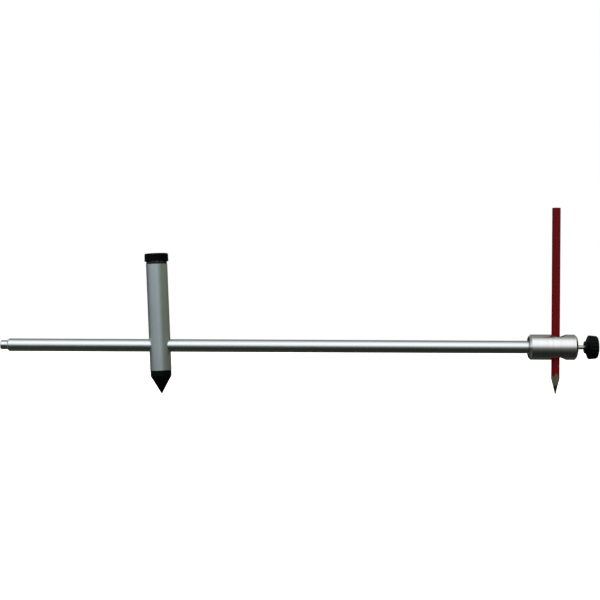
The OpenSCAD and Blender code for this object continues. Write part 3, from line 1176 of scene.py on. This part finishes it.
@dataclass
class PivotPost:
    """The leaning post tube, its conical point, its collar and its clamp knob."""

    layout: Layout
    radius: float = 10.0
    bore: float = 8.0
    fit: float = 0.02
    cross_bore: float = 6.5
    edge_break: float = 0.3
    rim_radius: float = 9.8
    rim_height: float = 5.1
    cone_height: float = 16.9
    tip_radius: float = 0.15
    tip_edge: float = 0.08
    cone_edge: float = 0.25
    rim_edge: float = 0.2
    shank_bevel: float = 0.4
    collar_root: float = 0.15
    collar_radius: float = 9.75
    rod_hole: float = 3.2
    cap_radius: float = 11.2
    cap_fall: float = 0.2
    cap_round: float = 1.0
    cap_wear: float = 0.4
    washer_recess_radius: float = 7.7
    washer_recess: float = 0.55
    insert_radius: float = 5.02
    insert_depth: float = 6.57
    grooves: int = 36
    groove_depth: float = 0.3
    groove_half_width: float = 0.6
    groove_steps: int = 12

    def build(self) -> None:
        """Builds the four pieces that show."""
        self.tube()
        self.point()
        self.collar()
        self.cap()

    def tube(self) -> None:
        """The matt tube, bored across for the beam."""
        low, high = self.layout.span("post_tube", self.layout.post)
        solid = turned([
            Corner(self.bore, low),
            Corner(self.radius, low, self.edge_break, steps=2),
            Corner(self.radius, high, self.edge_break, steps=2),
            Corner(self.bore, high),
        ], closed=True)
        reach = 2 * self.radius
        drill = moved(rod(self.cross_bore, -reach, reach, FINE_ROUND),
                      self.layout.post.inverted() @ self.layout.beam)
        made = shaped(solid, [drill])
        mounted(made, "matt_post_tube", self.layout.post, [MATT_TUBE], "post", "post_tube")

    def point(self) -> None:
        """The black conical point, whose shank fills the tube's lower end."""
        low, high = self.layout.span("pivot_point", self.layout.post)
        shank = self.bore - self.fit
        rim = low + self.cone_height
        made = turned([
            Corner(0, low),
            Corner(self.tip_radius, low, self.tip_edge),
            Corner(self.rim_radius, rim, self.cone_edge),
            Corner(self.rim_radius, rim + self.rim_height, self.rim_edge),
            Corner(shank, rim + self.rim_height),
            Corner(shank, high - self.shank_bevel),
            Corner(shank - self.shank_bevel, high),
            Corner(0, high),
        ])
        mounted(made, "black_pivot_point", self.layout.post, [BLACK_POINT], "post", "pivot_point")

    def collar(self) -> None:
        """The dark plug whose collar shows under the clamp knob."""
        low, high = self.layout.span("post_plug", self.layout.post)
        face = self.layout.span("post_tube", self.layout.post)[1]
        shank = self.bore - self.fit
        made = turned([
            Corner(self.rod_hole, low),
            Corner(shank - self.shank_bevel, low),
            Corner(shank, low + self.shank_bevel),
            Corner(shank, face),
            Corner(self.collar_radius, face, self.collar_root),
            Corner(self.collar_radius, high, self.edge_break),
            Corner(self.rod_hole, high),
        ], closed=True)
        mounted(made, "grey_post_collar", self.layout.post, [GREY_PLASTIC], "post", "post_plug")

    def cap(self) -> None:
        """The black clamp knob with fine grooves round its side."""
        low, high = self.layout.span("clamp_knob", self.layout.post)
        high -= self.cap_wear
        drawn = outline([
            Corner(0, low + self.insert_depth),
            Corner(self.insert_radius, low + self.insert_depth),
            Corner(self.insert_radius, low + self.washer_recess),
            Corner(self.washer_recess_radius, low + self.washer_recess),
            Corner(self.washer_recess_radius, low),
            Corner(self.cap_radius, low, self.edge_break),
            Corner(self.cap_radius - self.cap_fall, high, self.cap_round, steps=5),
            Corner(0, high),
        ])
        made = spun(drawn, self.grooves * self.groove_steps)
        press_grooves(made, self.grooves, self.groove_depth, self.groove_half_width,
                      (self.cap_radius, low))
        mounted(made, "grooved_clamp_knob", self.layout.post, [BLACK_CAP], "post_knob", "clamp_knob")


@dataclass
class InnerPieces:
    """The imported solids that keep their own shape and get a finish."""

    layout: Layout

    def build(self) -> None:
        """Dresses each solid that still shows."""
        layout = self.layout
        for node, finish, place in (
            ("head_spigot", TURNED_ALUMINIUM, layout.beam),
            ("set_screw", BLACK_STEEL, layout.beam),
            ("pressure_foot", BRASS, layout.beam),
            ("beam_liner", LINER_PLASTIC, layout.beam),
            ("thrust_washer", PLATED_STEEL, layout.post),
            ("knob_insert", BRASS, layout.post),
            ("draw_rod", PLATED_STEEL, layout.post),
            ("eye_block", TURNED_ALUMINIUM, layout.post),
            ("lock_nut", PLATED_STEEL, layout.post),
        ):
            mesh = layout.packed["nodes"][node].data
            mesh.materials.clear()
            mesh.materials.append(finish.material(place))
            log.info("%s keeps its solid, finished as %s", node, finish.name)


# Studio

@dataclass(frozen=True)
class Band:
    """A band of the surroundings: its tints, and its light by height.

    A height is an angle in degrees: 0 is level in front, 90 is straight up and
    180 is level behind. The tints are for the heights below, in front and above.
    """

    tints: tuple[Color, Color, Color]
    levels: tuple[tuple[float, float], ...]
    front_start: float = -15.0
    top_start: float = 90.0

    def light(self, graph: Graph, share: NodeSocket) -> NodeSocket:
        """Gives the band's light by height.

        Args:
            graph: the world's graph.
            share: the height angle, from 0 to 1 round the beam's direction.

        Returns:
            The light's colour.
        """
        ramp = graph.node("ValToRGB", share)
        stops = ramp.color_ramp.elements
        while len(stops) < len(self.levels):
            stops.new(0.5)
        for stop, (angle, level) in zip(stops, self.levels):
            stop.position = (angle + 180) / 360
            tint = self.tints[(angle > self.front_start) + (angle > self.top_start)]
            stop.color = shaded(tint, level)
        return ramp.outputs[0]


KEY_LEFT = Band(((0.82, 0.92, 0.72), (0.865, 0.92, 0.945), (0.89, 0.92, 0.92)), (
    (-180, 0.03), (-140, 0.06), (-118, 0.085), (-100, 0.066), (-80, 0.042), (-50, 0.032), (-34, 0.04),
    (-20, 0.06), (-10, 0.12), (0, 0.34), (8, 0.74), (16, 1.0), (28, 1.09), (40, 1.12), (55, 1.1),
    (68, 1.06), (78, 0.96), (88, 0.7), (98, 0.46), (115, 0.3), (140, 0.2), (152, 0.35), (166, 0.35),
    (180, 0.02)))
KEY_RIGHT = Band(((0.91, 1.0, 0.79), (1.0, 1.01, 1.01), (1.07, 1.01, 0.96)), (
    (-180, 0.02), (-140, 0.03), (-118, 0.03), (-100, 0.014), (-50, 0.009), (-34, 0.03), (-20, 0.09),
    (-10, 0.14), (0, 0.4), (8, 0.8), (16, 1.1), (28, 1.28), (40, 1.36), (55, 1.3), (66, 1.15),
    (76, 0.84), (87, 0.48), (98, 0.3), (115, 0.22), (140, 0.13), (152, 0.35), (166, 0.35),
    (180, 0.02)))
LEFT_ROOM = Band(((0.35, 0.34, 0.34),) * 3, (
    (-180, 0.1), (-150, 0.45), (-120, 0.5), (-95, 0.14), (-60, 0.12), (-30, 0.22), (-5, 0.4),
    (12, 1.3), (60, 1.4), (80, 1.2), (95, 0.95), (120, 0.9), (145, 0.7), (165, 0.5), (180, 0.1)))
RIGHT_ROOM = Band(((1.05, 1.07, 0.8),) * 3, (
    (-180, 0.05), (-90, 0.03), (-30, 0.05), (-5, 0.08), (12, 0.2), (60, 0.24), (90, 0.24), (130, 0.18),
    (170, 0.25), (180, 0.05)))


@dataclass
class Studio:
    """The camera, the lights, the surroundings and the pale floor."""

    camera_spot: Vector = Vector((0.1462, -1.13, 0.0729))
    camera_roll: float = 0.262
    lens: float = 72.0
    shift: tuple[float, float] = (-0.0292, 0.0283)
    key_middle: float = -0.3
    key_inner: float = 0.4
    key_outer: float = 0.9
    side_rise: float = 0.25
    side_middle: float = -0.26
    key_turn: tuple[float, float] = (-0.3, 0.25)
    room_turn: tuple[float, float] = (-0.4, 0.85)
    fill_spot: Vector = Vector((-0.5, -1.0, 1.1))
    fill_size: float = 0.8
    fill_power: float = 0.5
    aim: Vector = Vector((0.12, 0.0, 0.05))
    floor_height: float = -0.128
    floor_size: float = 6.0
    floor_color: Color = (0.9, 0.9, 0.9)

    def build(self) -> None:
        """Sets everything up."""
        self.camera()
        self.fill_light()
        self.surroundings()
        self.floor()

    def camera(self) -> None:
        """The camera, level and square to the beam's side but for a slight roll."""
        data = bpy.data.cameras.new("camera")
        data.lens = self.lens
        data.shift_x, data.shift_y = self.shift
        camera = bpy.data.objects.new("camera", data)
        roll = Matrix.Rotation(math.radians(self.camera_roll), 4, "Z")
        level = Matrix.Translation(self.camera_spot) @ Matrix.Rotation(QUARTER, 4, "X")
        camera.matrix_world = level @ roll
        bpy.context.scene.collection.objects.link(camera)
        bpy.context.scene.camera = camera

    def fill_light(self) -> None:
        """A weak soft light in front, above and to the left."""
        data = bpy.data.lights.new("fill_light", "AREA")
        data.size = self.fill_size
        data.energy = self.fill_power
        light = bpy.data.objects.new("fill_light", data)
        away = (self.fill_spot - self.aim).to_track_quat("Z", "Y")
        light.matrix_world = Matrix.Translation(self.fill_spot) @ away.to_matrix().to_4x4()
        light.visible_camera = False
        bpy.context.scene.collection.objects.link(light)

    def surroundings(self) -> None:
        """The soft key light over a dim room; the camera itself sees only white."""
        world = bpy.data.worlds.new("studio")
        bpy.context.scene.world = world
        world.use_nodes = True
        world.node_tree.nodes.clear()
        graph = Graph(world.node_tree)
        way = graph.node("SeparateXYZ", graph.node("TexCoord").outputs["Generated"]).outputs
        height = graph.math("ARCTAN2", way["Z"], graph.math("MULTIPLY", way["Y"], -1.0))
        share = graph.math("MULTIPLY_ADD", height, 1 / math.tau, 0.5)
        aside = graph.off(way["X"], self.key_middle)
        in_key = graph.spread(aside, 1.0, 0.0, self.key_inner, self.key_outer)
        slope = graph.math("MULTIPLY_ADD", graph.off(way["X"], self.side_middle), self.side_rise, 1.0)
        room = graph.blend(graph.spread(way["X"], 0.0, 1.0, *self.room_turn),
                           LEFT_ROOM.light(graph, share), RIGHT_ROOM.light(graph, share))
        key = graph.blend(graph.spread(way["X"], 0.0, 1.0, *self.key_turn),
                          KEY_LEFT.light(graph, share), KEY_RIGHT.light(graph, share))
        lit = graph.node("Background", graph.blend(in_key, room, key), slope)
        white = graph.node("Background", shaded(WHITE))
        seen = graph.node("MixShader", graph.node("LightPath").outputs["Is Camera Ray"],
                          lit.outputs[0], white.outputs[0])
        graph.node("OutputWorld", seen.outputs[0])

    def floor(self) -> None:
        """The pale floor, under the lowest place that the pencil can reach."""
        made = bmesh.new()
        bmesh.ops.create_grid(made, x_segments=1, y_segments=1, size=self.floor_size)
        bmesh.ops.translate(made, vec=(self.aim.x, 0, self.floor_height), verts=made.verts[:])
        floor = piece_from(made, "pale_floor")
        material = bpy.data.materials.new("pale_floor")
        material.use_nodes = True
        nodes = material.node_tree.nodes
        shader = nodes["Principled BSDF"]
        for name, value in (("Base Color", shaded(self.floor_color)), ("Roughness", 1.0),
                            ("Specular IOR Level", 0.0), ("Emission Color", shaded(WHITE)),
                            ("Emission Strength", 1.0)):
            shader.inputs[name].default_value = value
        graph = Graph(material.node_tree)
        under = graph.node("MixShader", graph.node("NewGeometry").outputs["Backfacing"],
                           shader.outputs[0], graph.node("BsdfTransparent").outputs[0])
        graph.feed(nodes["Material Output"].inputs["Surface"], under.outputs[0])
        floor.data.materials.append(material)
        floor.visible_glossy = False
        floor.visible_diffuse = False


def main() -> None:
    """Builds the compass and its studio, and logs how many faces each new piece has."""
    logging.basicConfig(level=logging.INFO, format="%(name)s: %(message)s")
    bpy.context.scene.view_settings.view_transform = "Standard"
    layout = Layout(frame)
    for assembly in (RoundBeam(layout), PencilHead(layout), ThumbScrew(layout), Pencil(layout),
                     PivotPost(layout), InnerPieces(layout)):
        assembly.build()
    Studio().build()


if __name__ == "__main__":
    main()
